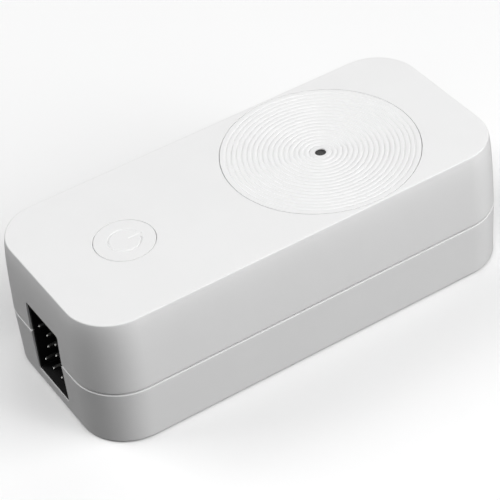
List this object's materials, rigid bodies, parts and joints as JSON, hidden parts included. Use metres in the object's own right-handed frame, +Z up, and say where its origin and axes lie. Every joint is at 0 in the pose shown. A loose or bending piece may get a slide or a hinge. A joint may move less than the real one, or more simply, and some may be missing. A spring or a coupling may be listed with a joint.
{
  "type": "climate sensor control box",
  "caption": "Free-standing rounded two-part box with a round rippled sensor cover with a centre air hole, a flush power button and a multi-way end socket.",
  "frame": {"origin": "on the table, below the middle of the box", "axes": "+X along the length, away from the socket end; -Y out of the front long side; +Z up"},
  "size_m": [0.123, 0.0552, 0.0376],
  "materials": {
    "white_casing": "fine satin moulded plastic",
    "white_cover": "satin moulded plastic with turned ripples",
    "white_button": "satin moulded plastic",
    "black_plastic": "dull black moulded plastic",
    "board_laminate": "solder-masked glass-fibre laminate",
    "chip_resin": "moulded black resin",
    "tinned_contact": "tin plated, bright",
    "zinc_steel": "zinc plated, satin",
    "spring_steel": "rolled spring steel, satin",
    "foot_rubber": "matt dark grey rubber",
    "sleeve_rubber": "matt mid-grey silicone rubber",
    "membrane_fabric": "fine dark porous membrane",
    "can_aluminium": "satin drawn can"
  },
  "bodies": {
    "enclosure": {"case_screw_1": "zinc_steel", "case_screw_2": "zinc_steel", "case_screw_3": "zinc_steel", "case_screw_4": "zinc_steel", "connector_housing": "black_plastic", "crystal": "zinc_steel", "dust_membrane": "membrane_fabric", "filter_capacitor_1": "can_aluminium", "filter_capacitor_2": "can_aluminium", "header_pin_1": "tinned_contact", "header_pin_2": "tinned_contact", "header_pin_3": "tinned_contact", "header_pin_4": "tinned_contact", "header_pin_5": "tinned_contact", "header_pin_6": "tinned_contact", "humidity_sensor": "chip_resin", "lower_casing": "white_casing", "lower_header_strip": "black_plastic", "main_board": "board_laminate", "main_board_screw_1": "zinc_steel", "main_board_screw_2": "zinc_steel", "main_board_screw_3": "zinc_steel", "main_board_screw_4": "zinc_steel", "microcontroller": "chip_resin", "power_inductor": "chip_resin", "radio_board": "board_laminate", "radio_shield": "can_aluminium", "ripple_cover": "white_cover", "rubber_foot_1": "foot_rubber", "rubber_foot_2": "foot_rubber", "rubber_foot_3": "foot_rubber", "rubber_foot_4": "foot_rubber", "sensor_board": "board_laminate", "sensor_board_screw_1": "zinc_steel", "sensor_board_screw_2": "zinc_steel", "sensor_board_screw_3": "zinc_steel", "sensor_board_screw_4": "zinc_steel", "sensor_sleeve": "sleeve_rubber", "socket_contact_1": "tinned_contact", "socket_contact_2": "tinned_contact", "socket_contact_3": "tinned_contact", "socket_contact_4": "tinned_contact", "socket_contact_5": "tinned_contact", "socket_contact_6": "tinned_contact", "socket_contact_7": "tinned_contact", "socket_contact_8": "tinned_contact", "switch_base": "chip_resin", "switch_cover": "zinc_steel", "switch_dome": "spring_steel", "upper_casing": "white_casing", "upper_header_strip": "black_plastic", "voltage_regulator": "chip_resin"},
    "button": {"button_cap": "white_button"},
    "plunger": {"switch_plunger": "black_plastic"}
  },
  "joints": [
    {"name": "button_press", "type": "slide", "parent": "enclosure", "child": "button", "axis": [0, 0, -1], "range_m": [0, 0.0005], "stiffness_N_per_m": 1500},
    {"name": "plunger_press", "type": "slide", "parent": "enclosure", "child": "plunger", "axis": [0, 0, -1], "range_m": [0, 0.0005], "deforming": ["switch_dome"]}
  ],
  "couplings": [
    {"joint": "plunger_press", "follows": "button_press", "ratio": 1}
  ]
}
